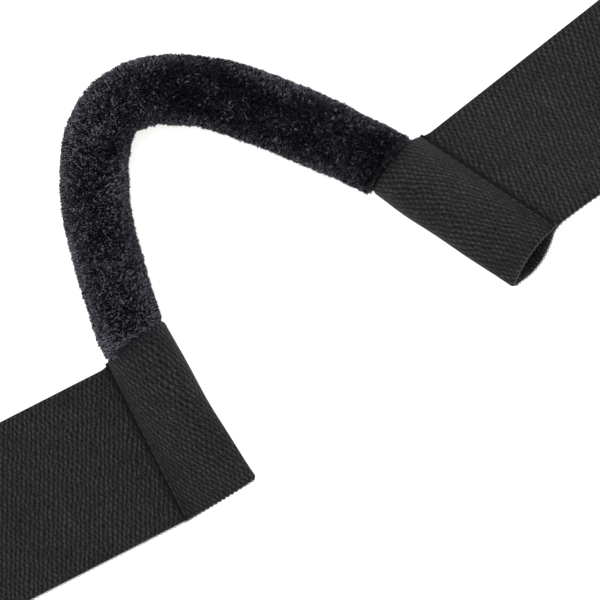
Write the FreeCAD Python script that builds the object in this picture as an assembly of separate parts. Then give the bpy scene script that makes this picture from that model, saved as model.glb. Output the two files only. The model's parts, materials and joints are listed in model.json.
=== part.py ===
"""Stretching strap: a plush rope handle between two woven elastic arms with foot loops.

The strap lies on a floor, +Z up.  The handle is a padded rope bent into a U.  Each end of
the rope is held in a tunnel made by folding the inner end of a 50 mm elastic arm over and
stitching it down.  Each arm ends in a stitched loop for a foot or a hand.  Units are mm.
"""
import FreeCAD
import Part
import math
import os
from FreeCAD import Placement, Rotation, Vector

# ---- driving dimensions ---------------------------------------------------------------
web_width = 50.0
web_thickness = 2.0
arm_length = 140.0
loop_length = 120.0
loop_nose_radius = 12.0
lap_length = 4.0

sleeve_diameter = 20.4
sleeve_wall = 1.3
foam_clearance = 0.6
rope_diameter = 8.0
neck_side_slack = 0.4
neck_rise_slack = 0.15
neck_flare = 0.95
rope_depth = 24.0

mouth_headroom = 3.3
left_tunnel_ease = 1.36
left_far_height = 1.8
left_neck_lead = 2.85
right_tunnel_ease = 1.45
right_far_height = 4.0
right_far_sag = 4.0
right_neck_lead = 5.85
right_roll = 28.0

thread_width = 0.8
thread_gap = 0.1
stitch_count = 12
gap = 0.3

# Plan of the strap on the floor: the mouth end of each seam and the way each arm points.
left_seam_start = Vector(-55.8, -19.5, 0.0)
left_arm_angle = 207.0
right_seam_start = Vector(36.7, 46.6, 0.95)
right_seam_angle = 53.0
right_arm_angle = 38.3

# The foam leaves room for the sleeve's seam thread.  The necks are gathered onto the rope,
# and each tunnel is as wide and as high at its mouth as its neck and lap need.
sleeve_radius = sleeve_diameter / 2.0
foam_radius = sleeve_radius - sleeve_wall - foam_clearance
rope_radius = rope_diameter / 2.0
neck_width = rope_diameter + 2.0 * (sleeve_wall + neck_side_slack)
neck_height = rope_diameter + 2.0 * (sleeve_wall + neck_rise_slack)
mouth_height = neck_height + mouth_headroom
left_tunnel_width = lap_length + web_thickness + neck_width * left_tunnel_ease
right_tunnel_width = lap_length + web_thickness + neck_width * right_tunnel_ease
tack_wall = 0.6
hinge_offset = web_thickness / 2.0 + gap


# ---- small helpers --------------------------------------------------------------------
def direction(angle):
    """Level unit vector at an angle in degrees from +X."""
    return Vector(math.cos(math.radians(angle)), math.sin(math.radians(angle)), 0.0)


def smooth(fraction):
    """Ease from 0 to 1 with level ends."""
    fraction = min(1.0, max(0.0, fraction))
    return fraction * fraction * (3.0 - 2.0 * fraction)


def box(low, high):
    """Box between two corners."""
    return Part.makeBox(high[0] - low[0], high[1] - low[1], high[2] - low[2], Vector(*low))


def rounded_path(points, radii):
    """Wire of straight lines whose inner corners are rounded with the given radii."""
    edges = []
    start = points[0]
    for index, radius in enumerate(radii):
        corner = points[index + 1]
        inward = (points[index] - corner).normalize()
        outward = (points[index + 2] - corner).normalize()
        half_turn = inward.getAngle(outward) / 2.0
        reach = radius / math.tan(half_turn)
        middle = (inward + outward).normalize() * (radius / math.sin(half_turn) - radius)
        first = corner + inward * reach
        last = corner + outward * reach
        if (first - start).Length > 0.01:
            edges.append(Part.makeLine(start, first))
        edges.append(Part.Arc(first, corner + middle, last).toShape())
        start = last
    edges.append(Part.makeLine(start, points[-1]))
    return Part.Wire(edges)


def tube(path, radius):
    """Round bar swept along a path."""
    start = path.OrderedEdges[0]
    along = start.tangentAt(start.FirstParameter)
    ring = Part.Wire(Part.makeCircle(radius, path.OrderedVertexes[0].Point, along))
    return path.makePipeShell([ring], True, False)


def oval(centre, along, half_width, half_height):
    """Upright oval wire square to a direction; its first point is on the level long axis."""
    across = along.cross(Vector(0, 0, 1)).normalize()
    if abs(half_width - half_height) < 0.01:
        ring = Part.Circle(centre, along, half_width)
        ring.XAxis = across
        return Part.Wire(ring.toShape())
    up = across.cross(along).normalize()
    ring = Part.Ellipse(centre + across * half_width, centre - up * half_height, centre)
    return Part.Wire(ring.toShape())


def on_plane(point, plane):
    """Point of a tunnel cross-section; the section plane may lean and be cut askew."""
    y, skew, lean = plane
    return Vector(point[0], y + skew * point[0] + lean * point[1], point[1])


def arch(first, crown, last, plane):
    """Arc through three (x, z) points in a tunnel cross-section."""
    corners = [on_plane(point, plane) for point in (first, crown, last)]
    return Part.Arc(*corners).toShape()


def level(first, last, plane):
    """Line between two (x, z) points in a tunnel cross-section."""
    return Part.makeLine(on_plane(first, plane), on_plane(last, plane))


# ---- tunnel: the folded-over inner end of an arm ----------------------------------------
def tunnel_section(width, height, sag, plane, outer):
    """Outline of the fold, outer or inner, at one place along the tunnel."""
    t = web_thickness
    fold = 0.45 * (height + sag)
    grow = t if outer else 0.0
    centre_x = -width + t + fold
    centre_z = t + fold - sag * 0.5
    under = (centre_x, centre_z - fold - grow)
    side = (centre_x - fold - grow, centre_z)
    over = (centre_x, centre_z + fold + grow)
    lap_x = -lap_length - gap
    middle_x = (centre_x + lap_x) / 2.0
    crown = (middle_x, t + height + grow)
    low = (middle_x, t - sag - grow)
    if not outer:
        wedge = (lap_x, t)
        floor = arch(wedge, low, under, plane) if sag > 0.0 else level(wedge, under, plane)
        roof = arch(over, crown, wedge, plane)
        return Part.Wire([floor, arch(under, side, over, plane), roof])
    heel = (0.0, 0.0)
    lap = (lap_x, 0.0)
    floor = arch(lap, low, under, plane) if sag > 0.0 else level(lap, under, plane)
    return Part.Wire([
        level(heel, lap, plane),
        floor,
        arch(under, side, over, plane),
        arch(over, crown, (lap_x, 2.0 * t), plane),
        level((lap_x, 2.0 * t), (0.0, 2.0 * t), plane),
        level((0.0, 2.0 * t), heel, plane),
    ])


def tunnel_fold(stations, side):
    """Folded web: outer loft less inner loft.  side +1 runs along +y, -1 along -y."""
    outer = []
    inner = []
    for y, width, height, sag, skew, lean in stations:
        plane = (side * y, side * skew, side * lean)
        outer.append(tunnel_section(width, height, sag, plane, True))
        inner.append(tunnel_section(width, height, sag, plane, False))
    body = Part.makeLoft(outer, True, True)
    hollow = Part.makeLoft(inner, True, True)
    return body.cut(hollow)


def seam_stitching(side, grow):
    """Lockstitch through the lapped layers: two runs joined by a post at every needle hole."""
    half = thread_width / 2.0 + grow
    centre_x = -lap_length / 2.0
    first_y = 1.5
    last_y = web_width - 1.5
    depth = 0.6 + grow
    low_y = min(side * (first_y - grow), side * (last_y + grow))
    high_y = max(side * (first_y - grow), side * (last_y + grow))
    top = 2.0 * web_thickness
    run_over = box((centre_x - half, low_y, top - depth), (centre_x + half, high_y, top + grow))
    run_under = box((centre_x - half, low_y, -grow), (centre_x + half, high_y, depth))
    posts = []
    pitch = (last_y - first_y - thread_width) / (stitch_count - 1)
    for index in range(stitch_count):
        y = side * (first_y + thread_width / 2.0 + index * pitch)
        posts.append(Part.makeCylinder(0.3 + grow, top - 0.4, Vector(centre_x, y, 0.2)))
    return run_over.multiFuse([run_under] + posts).removeSplitter()


def anchor_tack(side, grow, centre_x, centre_z, y):
    """Thread band round the rope end, sewn through the back layer of the tunnel."""
    inner = rope_radius + 0.25
    outer = inner + tack_wall
    length = 5.0
    along = Vector(0, side, 0)
    start = Vector(centre_x, side * y, centre_z)
    band = Part.makeCylinder(outer, length, start, along)
    band = band.cut(Part.makeCylinder(inner, length, start, along))
    low_y = min(side * (y + 1.5), side * (y + 3.5)) - grow
    high_y = max(side * (y + 1.5), side * (y + 3.5)) + grow
    parts = []
    for way in (-1.0, 1.0):
        x = centre_x + way * (outer - 0.35)
        low = (x - 0.35 - grow, low_y, -grow)
        high = (x + 0.35 + grow, high_y, centre_z if grow == 0 else web_thickness + 2.0)
        parts.append(box(low, high))
    low = (centre_x - outer - grow, low_y, -grow)
    high = (centre_x + outer + grow, high_y, 0.6 + grow)
    parts.append(box(low, high))
    feet = parts[0].multiFuse(parts[1:])
    if grow > 0:
        return feet
    return band.fuse(feet).removeSplitter()


def tunnel_set(stations, side, placement, rope_x, rope_z):
    """Tunnel, its seam thread and its rope tack, placed on the floor plan."""
    fold = tunnel_fold(stations, side)
    fold = fold.cut(seam_stitching(side, thread_gap))
    fold = fold.cut(anchor_tack(side, thread_gap, rope_x, rope_z, rope_depth - 9.0))
    thread = seam_stitching(side, 0.0)
    tack = anchor_tack(side, 0.0, rope_x, rope_z, rope_depth - 9.0)
    result = []
    for shape in (fold, thread, tack):
        shape = shape.copy()
        shape.Placement = placement
        result.append(shape)
    return result


# ---- arm web and foot loop ---------------------------------------------------------------
def arm_web(start, seam_way, arm_way, roll):
    """Flat elastic from the seam hinge line outward; any roll and skew ease out to flat."""
    half = web_thickness / 2.0
    square_way = arm_way - 90.0 if seam_way.cross(direction(arm_way)).z > 0 else arm_way + 90.0
    seam_angle = math.degrees(math.atan2(seam_way.y, seam_way.x))
    turn = (square_way - seam_angle + 180.0) % 360.0 - 180.0
    count = 8 if roll > 0.0 else 2
    sections = []
    for index in range(count):
        along = index / (count - 1.0)
        tilt = math.radians(roll * (1.0 - smooth(along * 1.15)))
        angle = seam_angle + turn * smooth(along * 1.4)
        across = direction(angle) * math.cos(tilt) + Vector(0, 0, math.sin(tilt))
        near = start + direction(arm_way) * (arm_length * along)
        near.z = half + (start.z - half) * (1.0 - smooth(along * 4.0))
        normal = across.cross(direction(arm_way)).normalize() * half
        if normal.z < 0:
            normal = normal * -1.0
        far = near + across * web_width
        corners = [near - normal, far - normal, far + normal, near + normal, near - normal]
        sections.append(Part.makePolygon(corners))
    strip = Part.makeLoft(sections, True, True)
    rounded_end = Part.makeCylinder(half, web_width, start, seam_way)
    return strip.fuse(rounded_end), near, across


def ribbon(points, radii, thickness, width):
    """Band of constant thickness whose middle line is a rounded path in the x-z plane."""
    half = thickness / 2.0
    solids = []
    for edge in rounded_path(points, radii).OrderedEdges:
        first = edge.valueAt(edge.FirstParameter)
        last = edge.valueAt(edge.LastParameter)
        side_first = edge.tangentAt(edge.FirstParameter).cross(Vector(0, 1, 0)) * half
        side_last = edge.tangentAt(edge.LastParameter).cross(Vector(0, 1, 0)) * half
        if edge.Curve.TypeId == "Part::GeomLine":
            over = Part.makeLine(first + side_first, last + side_last)
            under = Part.makeLine(last - side_last, first - side_first)
        else:
            middle_at = (edge.FirstParameter + edge.LastParameter) / 2.0
            middle = edge.valueAt(middle_at)
            side = edge.tangentAt(middle_at).cross(Vector(0, 1, 0)) * half
            over = Part.Arc(first + side_first, middle + side, last + side_last).toShape()
            under = Part.Arc(last - side_last, middle - side, first - side_first).toShape()
        close_last = Part.makeLine(last + side_last, last - side_last)
        close_first = Part.makeLine(first - side_first, first + side_first)
        face = Part.Face(Part.Wire([over, close_last, under, close_first]))
        solids.append(face.extrude(Vector(0, width, 0)))
    return solids[0].multiFuse(solids[1:]).removeSplitter()


def foot_loop():
    """Loop: the web folded back over a round nose and laid on itself where it is sewn."""
    half = web_thickness / 2.0
    nose = loop_nose_radius
    crest = web_thickness / 2.0 + 2.0 * nose
    patch = 26.0
    points = [
        Vector(0, 0, half),
        Vector(loop_length - half, 0, half),
        Vector(loop_length - half, 0, crest + 1.0),
        Vector(patch + 12.0, 0, 3.0 * half),
        Vector(0, 0, 3.0 * half),
    ]
    return ribbon(points, [nose, nose * 0.85, 20.0], web_thickness, web_width)


def box_stitch(grow):
    """Box-and-cross stitching through both layers of the loop's sewn patch."""
    half = thread_width / 2.0 + grow
    near = 4.0
    far = 24.0
    low = 5.0
    high = web_width - 5.0
    corners = [(near, low), (far, low), (far, high), (near, high)]
    runs = list(zip(corners, corners[1:] + corners[:1]))
    runs.append((corners[0], corners[2]))
    runs.append((corners[1], corners[3]))
    parts = []
    for z in (0.0, 2.0 * web_thickness - 0.6):
        for (x0, y0), (x1, y1) in runs:
            length = math.hypot(x1 - x0, y1 - y0) + 2.0 * half
            bar = box((-half, -half, -grow), (length - half, half, 0.6 + grow))
            bar.rotate(Vector(0, 0, 0), Vector(0, 0, 1), math.degrees(math.atan2(y1 - y0, x1 - x0)))
            bar.translate(Vector(x0, y0, z))
            parts.append(bar)
    for x, y in corners:
        parts.append(Part.makeCylinder(0.35 + grow, 2.0 * web_thickness - 0.4, Vector(x, y, 0.2)))
    return parts[0].multiFuse(parts[1:]).removeSplitter()


def loop_set(corner, arm_way, across):
    """Foot loop and its box stitch at the outer end of an arm."""
    side = 1.0 if direction(arm_way + 90.0).dot(across) > 0 else -1.0
    start = corner + direction(arm_way) * gap
    if side < 0:
        start = start + across * web_width
    start.z = 0.0
    placement = Placement(start, Rotation(Vector(0, 0, 1), arm_way))
    loop = foot_loop().cut(box_stitch(thread_gap))
    thread = box_stitch(0.0)
    loop.Placement = placement
    thread.Placement = placement
    return loop, thread


# ---- padded rope handle ------------------------------------------------------------------
def handle_points(left_place, right_place, left_end, right_end):
    """Corner points of the rope's middle line from the left rope end to the right one."""
    z = sleeve_radius
    drop = 3.0 * (sleeve_radius - rope_z)
    left_mouth = left_place.multVec(left_end[0])
    left_tip = left_place.multVec(left_end[1])
    right_mouth = right_place.multVec(right_end[0])
    right_tip = right_place.multVec(right_end[1])
    left_limb = Vector(-58.7, 22.6, z)
    corner = Vector(-58.7, 60.1, z)
    shoulder = Vector(-22.9, 60.1, z)
    toward = (Vector(left_limb.x, left_limb.y, left_mouth.z) - left_mouth).normalize()
    left_level = left_mouth + toward * (left_neck_lead + drop)
    left_level.z = z
    toward = (Vector(shoulder.x, shoulder.y, right_mouth.z) - right_mouth).normalize()
    right_level = right_mouth + toward * (right_neck_lead + drop)
    right_level.z = z
    return [left_tip, left_mouth, left_level, left_limb, corner, shoulder, right_level,
            right_mouth, right_tip]


def neck(level_point, mouth, tip, wall_in, depth):
    """Sleeve end gathered from round to oval as it enters a tunnel."""
    radius = sleeve_radius - wall_in
    half_width = neck_width / 2.0 - wall_in
    half_height = neck_height / 2.0 - wall_in
    out_way = (mouth - level_point).normalize()
    in_way = (tip - mouth).normalize()
    flat_way = Vector(out_way.x, out_way.y, 0).normalize()
    bend_way = (out_way + in_way).normalize()
    rings = [
        oval(level_point, flat_way, radius, radius),
        oval(level_point + (mouth - level_point) * 0.5, out_way, radius * 0.97, radius * 0.85),
        oval(mouth, bend_way, half_width + neck_flare, half_height + neck_flare),
        oval(mouth + in_way * depth, in_way, half_width, half_height),
    ]
    return Part.makeLoft(rings, True, True)


def sleeve(points, path):
    """Plush sleeve: a round tube along the U with a gathered neck at each end."""
    skins = []
    for wall_in in (0.0, sleeve_wall):
        middle = tube(path, sleeve_radius - wall_in)
        left = neck(points[2], points[1], points[0], wall_in, 14.0)
        right = neck(points[6], points[7], points[8], wall_in, 14.0)
        skins.append(middle.multiFuse([left, right]))
    return skins[0].cut(skins[1])


def binding(mouth, tip, at):
    """Cord wound round the gathered neck, closing the sleeve onto the rope."""
    in_way = (tip - mouth).normalize()
    rings = []
    for half_width, half_height in ((0.6, 0.6), (0.3, 0.3)):
        start = mouth + in_way * at
        wide = neck_width / 2.0 + half_width
        high = neck_height / 2.0 + half_height
        first = oval(start, in_way, wide, high)
        last = oval(start + in_way * 3.0, in_way, wide, high)
        rings.append(Part.makeLoft([first, last], True, True))
    return rings[0].cut(rings[1])


def whipping(mouth, tip):
    """Thread wound round the cut end of the rope."""
    in_way = (tip - mouth).normalize()
    start = tip - in_way * 3.5
    ring = Part.makeCylinder(rope_radius + 0.6, 3.0, start, in_way)
    return ring.cut(Part.makeCylinder(rope_radius + 0.1, 3.0, start, in_way))


# ---- assembly ------------------------------------------------------------------------------
nodes = {}

left_place = Placement(left_seam_start, Rotation(Vector(0, 0, 1), left_arm_angle))
right_spin = Rotation(Vector(0, 0, 1), right_seam_angle)
right_place = Placement(right_seam_start, right_spin.multiply(Rotation(Vector(1, 0, 0), -right_roll)))

left_stations = [
    (0.0, left_tunnel_width, mouth_height, 0.0, 0.14, -0.17),
    (web_width * 0.5, left_tunnel_width + 1.5, mouth_height - 1.6, 0.0, 0.12, 0.0),
    (web_width, left_tunnel_width + 3.2, left_far_height, 0.0, 0.08, 0.0),
]
right_stations = [
    (0.0, right_tunnel_width, mouth_height, 0.5, 0.08, 0.38),
    (web_width * 0.5, right_tunnel_width, mouth_height - 1.6, 1.0, 0.04, 0.15),
    (web_width, right_tunnel_width, right_far_height, right_far_sag, 0.0, 0.0),
]
left_rope_x = -lap_length - 0.5 * (left_tunnel_width - lap_length) + 0.3
right_rope_x = -lap_length - 0.5 * (right_tunnel_width - lap_length) + 0.4
rope_z = web_thickness + 0.2 + 0.5 + neck_height / 2.0
left_set = tunnel_set(left_stations, 1.0, left_place, left_rope_x, rope_z)
right_set = tunnel_set(right_stations, -1.0, right_place, right_rope_x, rope_z)
nodes["left_tunnel"], nodes["left_seam_thread"], nodes["left_rope_tack"] = left_set
nodes["right_tunnel"], nodes["right_seam_thread"], nodes["right_rope_tack"] = right_set

points = handle_points(
    left_place, right_place,
    (Vector(left_rope_x, -5.8, rope_z), Vector(left_rope_x, rope_depth, rope_z)),
    (Vector(right_rope_x, 1.5, rope_z), Vector(right_rope_x, -rope_depth, rope_z)),
)
radii = [16.0, 30.0, 70.0, 20.0, 68.0, 30.0, 14.0]
outer_path = rounded_path(points[2:7], radii[2:5])
whole_path = rounded_path(points, radii)
nodes["plush_sleeve"] = sleeve(points, outer_path)
foam = tube(outer_path, foam_radius)
nodes["foam_core"] = foam.cut(tube(whole_path, rope_radius + 0.15))
nodes["core_rope"] = tube(whole_path, rope_radius)
thread_path = outer_path.copy()
thread_path.translate(Vector(0, 0, -(foam_radius + sleeve_radius - sleeve_wall) / 2.0))
nodes["sleeve_seam_thread"] = tube(thread_path, 0.25)
nodes["left_sleeve_binding"] = binding(points[1], points[0], 10.8)
nodes["right_sleeve_binding"] = binding(points[7], points[8], 10.8)
nodes["left_rope_whipping"] = whipping(points[1], points[0])
nodes["right_rope_whipping"] = whipping(points[7], points[8])

left_hinge = left_place.multVec(Vector(hinge_offset, 0.0, web_thickness / 2.0))
left_seam_way = left_place.Rotation.multVec(Vector(0, 1, 0))
web, corner, across = arm_web(left_hinge, left_seam_way, left_arm_angle, 0.0)
nodes["left_arm_web"] = web
nodes["left_foot_loop"], nodes["left_loop_stitching"] = loop_set(corner, left_arm_angle, across)

right_hinge = right_place.multVec(Vector(hinge_offset, 0.0, web_thickness / 2.0))
right_seam_way = right_place.Rotation.multVec(Vector(0, -1, 0))
web, corner, across = arm_web(right_hinge, right_seam_way, right_arm_angle, right_roll)
nodes["right_arm_web"] = web
nodes["right_foot_loop"], nodes["right_loop_stitching"] = loop_set(corner, right_arm_angle, across)

# The frame's origin is under the middle of the strap, at the floor.
extent = FreeCAD.BoundBox()
for shape in nodes.values():
    extent.add(shape.optimalBoundingBox(False))
shift = Vector(-extent.Center.x, -extent.Center.y, -extent.ZMin)
os.makedirs("parts", exist_ok=True)
for name, shape in nodes.items():
    solid = shape.Solids[0] if len(shape.Solids) == 1 else shape
    solid = solid.copy()
    solid.translate(shift)
    solid.exportStep("parts/" + name + ".step")
    print(name, "solids", len(shape.Solids), "valid", shape.isValid(), "volume", round(shape.Volume, 1))

print("size", round(extent.XLength, 2), round(extent.YLength, 2), round(extent.ZLength, 2))
print("shift", [round(value, 3) for value in shift])
for label, point, way in (
    ("left hinge", left_hinge, left_seam_way),
    ("right hinge", right_hinge, right_seam_way),
    ("left loop start", left_hinge + direction(left_arm_angle) * arm_length, direction(left_arm_angle)),
    ("right loop start", right_hinge + direction(right_arm_angle) * arm_length, direction(right_arm_angle)),
    ("bend corner", points[4], Vector(0, 0, 1)),
):
    spot = point + shift
    print(label, [round(value, 3) for value in spot], [round(value, 5) for value in way])
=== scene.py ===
"""Stretching strap: a plush rope handle held in stitched tunnels at the ends of two woven elastic arms."""
import json
import math

import bpy
import numpy as np
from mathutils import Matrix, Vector


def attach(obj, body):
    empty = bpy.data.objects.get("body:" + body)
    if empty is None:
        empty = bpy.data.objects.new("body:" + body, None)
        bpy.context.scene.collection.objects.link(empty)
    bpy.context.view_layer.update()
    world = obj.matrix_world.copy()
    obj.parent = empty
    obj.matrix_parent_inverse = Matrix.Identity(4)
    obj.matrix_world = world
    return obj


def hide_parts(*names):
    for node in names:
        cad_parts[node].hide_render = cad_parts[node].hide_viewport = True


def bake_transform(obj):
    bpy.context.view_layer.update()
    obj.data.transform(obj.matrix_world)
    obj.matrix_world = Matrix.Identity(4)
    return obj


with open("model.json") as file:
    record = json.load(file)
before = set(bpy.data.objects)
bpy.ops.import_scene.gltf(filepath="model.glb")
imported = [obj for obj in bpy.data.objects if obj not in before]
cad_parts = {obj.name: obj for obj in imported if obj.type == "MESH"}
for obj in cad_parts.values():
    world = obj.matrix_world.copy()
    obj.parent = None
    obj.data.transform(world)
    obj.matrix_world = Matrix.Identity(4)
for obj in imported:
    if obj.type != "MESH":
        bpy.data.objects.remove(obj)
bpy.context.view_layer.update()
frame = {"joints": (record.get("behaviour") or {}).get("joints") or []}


# ---- Floor, light and camera --------------------------------------------------------------
# A seamless pale sheet of paper, lit softly from above and a little from the left.  The paper
# glows slightly, so its shadows stay faint, and a long lens looks straight down at the handle.
floor_mesh = bpy.data.meshes.new("studio_floor")
reach, drop = 4.0, -0.0004
floor_mesh.from_pydata(
    [(-reach, -reach, drop), (reach, -reach, drop), (reach, reach, drop), (-reach, reach, drop)],
    [], [(0, 1, 2, 3)])
floor = bpy.data.objects.new("studio_floor", floor_mesh)
paper = bpy.data.materials.new("studio_floor")
paper.use_nodes = True
paper_surface = paper.node_tree.nodes["Principled BSDF"].inputs
paper_surface["Base Color"].default_value = (0.93, 0.93, 0.92, 1.0)
paper_surface["Roughness"].default_value = 0.9
paper_surface["Emission Color"].default_value = (1.0, 1.0, 0.965, 1.0)
paper_surface["Emission Strength"].default_value = 0.62
floor_mesh.materials.append(paper)
bpy.context.collection.objects.link(floor)

world = bpy.data.worlds.new("studio")
world.use_nodes = True
world.node_tree.nodes["Background"].inputs["Color"].default_value = (1.0, 1.0, 1.0, 1.0)
world.node_tree.nodes["Background"].inputs["Strength"].default_value = 0.8
bpy.context.scene.world = world


def softbox(name, place, aim, size, power):
    """Square area light turned towards a point."""
    lamp = bpy.data.lights.new(name, "AREA")
    lamp.size = size
    lamp.energy = power
    holder = bpy.data.objects.new(name, lamp)
    bpy.context.collection.objects.link(holder)
    way = np.array(aim, float) - np.array(place, float)
    holder.location = place
    holder.rotation_euler = Vector(way).to_track_quat("-Z", "Y").to_euler()


softbox("key", (-0.3, 0.4, 1.7), (0, 0, 0), 1.6, 11.0)
softbox("side", (-1.3, 0.9, 0.6), (0, 0, 0), 0.8, 4.0)

camera = bpy.data.cameras.new("camera")
camera.lens = 119.9
camera_holder = bpy.data.objects.new("camera", camera)
camera_holder.location = (0.008257, -0.013218, 0.581)
bpy.context.collection.objects.link(camera_holder)
bpy.context.scene.camera = camera_holder
bpy.context.scene.view_settings.view_transform = "Standard"


# ---- Elastic tunnels --------------------------------------------------------------------------
# Each arm is 50 mm woven elastic.  Its inner end is folded over the rope and sewn down on
# itself, which leaves a tunnel: full where the plush goes in, slack at its far end.
MM = 0.001  # sizes are in millimetres and the meshes in metres
joints = {joint["name"]: joint for joint in frame["joints"]}
web_width, web_thickness = 50.0, 1.9
upper_layer, lower_layer = 3.0, 1.0  # heights of the two layers' middles where they are sewn
seam_edge = -1.6  # where the two layers part, beside the seam
seam_tail = 12.0  # how far the tunnel's own piece runs on along the arm
arm_length = 140.0  # from the seam to the foot loop
pick_pitch, row_pitch = 1.51, 1.54  # of the weave, along and across the web


def smooth(share):
    """Ease from 0 to 1 with level ends."""
    share = np.clip(share, 0.0, 1.0)
    return share * share * (3.0 - 2.0 * share)


def unit(rows):
    """Rows scaled to length one."""
    return rows / np.maximum(np.linalg.norm(rows, axis=-1, keepdims=True), 1e-12)


def joint_line(name):
    """A hinge's point and axis in the row frame, point in millimetres."""
    return np.array(joints[name]["pos_m"], float) / MM, np.array(joints[name]["axis"], float)


def side_frame(side):
    """Origin at the seam's mouth end, then the ways across the seam, along it and up off the cloth."""
    point, axis = joint_line(side + "_fold")
    along = -axis if side == "left" else axis
    across = unit(np.cross(along, (0, 0, 1.0)))
    if np.dot(across, joints[side + "_stretch"]["axis"]) < 0:
        across = -across
    up = unit(np.cross(across, along))
    up = up if up[2] > 0 else -up
    return point - 1.3 * across - 1.0 * up, across, along, up


def waves(first, second, count, low, high, seed):
    """Smooth wandering value from summed sines of random direction, about -1 to 1."""
    pick = np.random.default_rng(seed)
    total_value = np.zeros(np.broadcast(first, second).shape)
    for _ in range(count):
        size = pick.uniform(low, high)
        turn = pick.uniform(0, 2 * math.pi)
        phase = pick.uniform(0, 2 * math.pi)
        total_value += np.sin(size * (first * math.cos(turn) + second * math.sin(turn)) + phase)
    return total_value / math.sqrt(count)


def parabola(first, crown, last, count):
    """Curve through three points, evenly spread, end points included."""
    share = np.linspace(0, 1, count)[:, None]
    first, crown, last = (np.array(p, float)[None] for p in (first, crown, last))
    return (first * (1 - share) * (1 - 2 * share) + crown * 4 * share * (1 - share)
            + last * share * (2 * share - 1))


def soften(line, reach):
    """Rounds the corners of an evenly spaced line with a bell-shaped average; ends stay put."""
    span = int(3 * reach) + 1
    bell = np.exp(-0.5 * (np.arange(-span, span + 1) / reach) ** 2)
    bell /= bell.sum()
    first = 2 * line[:1] - line[span:0:-1]
    last = 2 * line[-1:] - line[-2:-span - 2:-1]
    padded = np.concatenate([first, line, last])
    columns = [np.convolve(padded[:, k], bell, "valid") for k in range(line.shape[1])]
    return np.stack(columns, 1)


def even(line, count):
    """The same line with points at even distances."""
    gaps = np.linalg.norm(np.diff(line, axis=0), axis=1)
    run = np.concatenate([[0], np.cumsum(gaps)])
    at = np.linspace(0, run[-1], count)
    return np.stack([np.interp(at, run, line[:, k]) for k in range(line.shape[1])], 1)


def full_mouth(width, crest, fold):
    """Mouth outline in x and z: the roof springs from the seam, arches over and folds under.

    The roof is a quarter of a superellipse of power 1.7 from the seam to the crest, and the
    fold is half an ellipse from the crest down to the floor layer.
    """
    centre = -width + 1 + fold
    turn = np.linspace(0, math.pi / 2, 80)
    power = 2 / 1.7
    roof = np.stack([seam_edge + (centre - seam_edge) * (1 - np.cos(turn) ** power),
                     upper_layer + (crest - upper_layer) * np.sin(turn) ** power], 1)
    turn = np.linspace(0, math.pi, 60)[1:]
    rise = (crest - lower_layer) / 2
    bend = np.stack([centre - fold * np.sin(turn), lower_layer + rise + rise * np.cos(turn)], 1)
    return np.concatenate([[(0.0, upper_layer)], roof, bend, [(0.0, lower_layer)]])


def slack_mouth(width, crown, low, fold, level):
    """Far outline in x and z: two slack layers that part into a lens between seam and fold."""
    centre = -width + 1 + fold
    middle = (centre + seam_edge) / 2
    roof = parabola((seam_edge, upper_layer), (middle, crown), (centre, level + fold), 60)
    turn = np.linspace(0, math.pi, 30)[1:]
    bend = np.stack([centre - fold * np.sin(turn), level + fold * np.cos(turn)], 1)
    under = parabola((centre, level - fold), (middle, low), (seam_edge, lower_layer), 60)[1:]
    return np.concatenate([[(0.0, upper_layer)], roof, bend, under, [(0.0, lower_layer)]])


def softened(line, reach, count):
    """Outline with its corners eased over a reach in millimetres, evenly divided."""
    line = even(line, 500)
    step = np.linalg.norm(line[1] - line[0])
    return even(soften(line, reach / step), count)


def across_marks(width, thickness):
    """Places across the web and half thickness there, so that its edges are round."""
    radius = thickness / 2
    turn = np.linspace(0, math.pi / 2, 5)
    edge = radius * (1 - np.cos(turn))
    inner = np.linspace(radius, width - radius, 84)[1:-1]
    marks = np.concatenate([edge, inner, width - edge[::-1]])
    depth = np.minimum(np.minimum(marks, width - marks) / radius, 1.0)
    return marks, radius * np.sqrt(1 - (1 - depth) ** 2)


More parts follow.
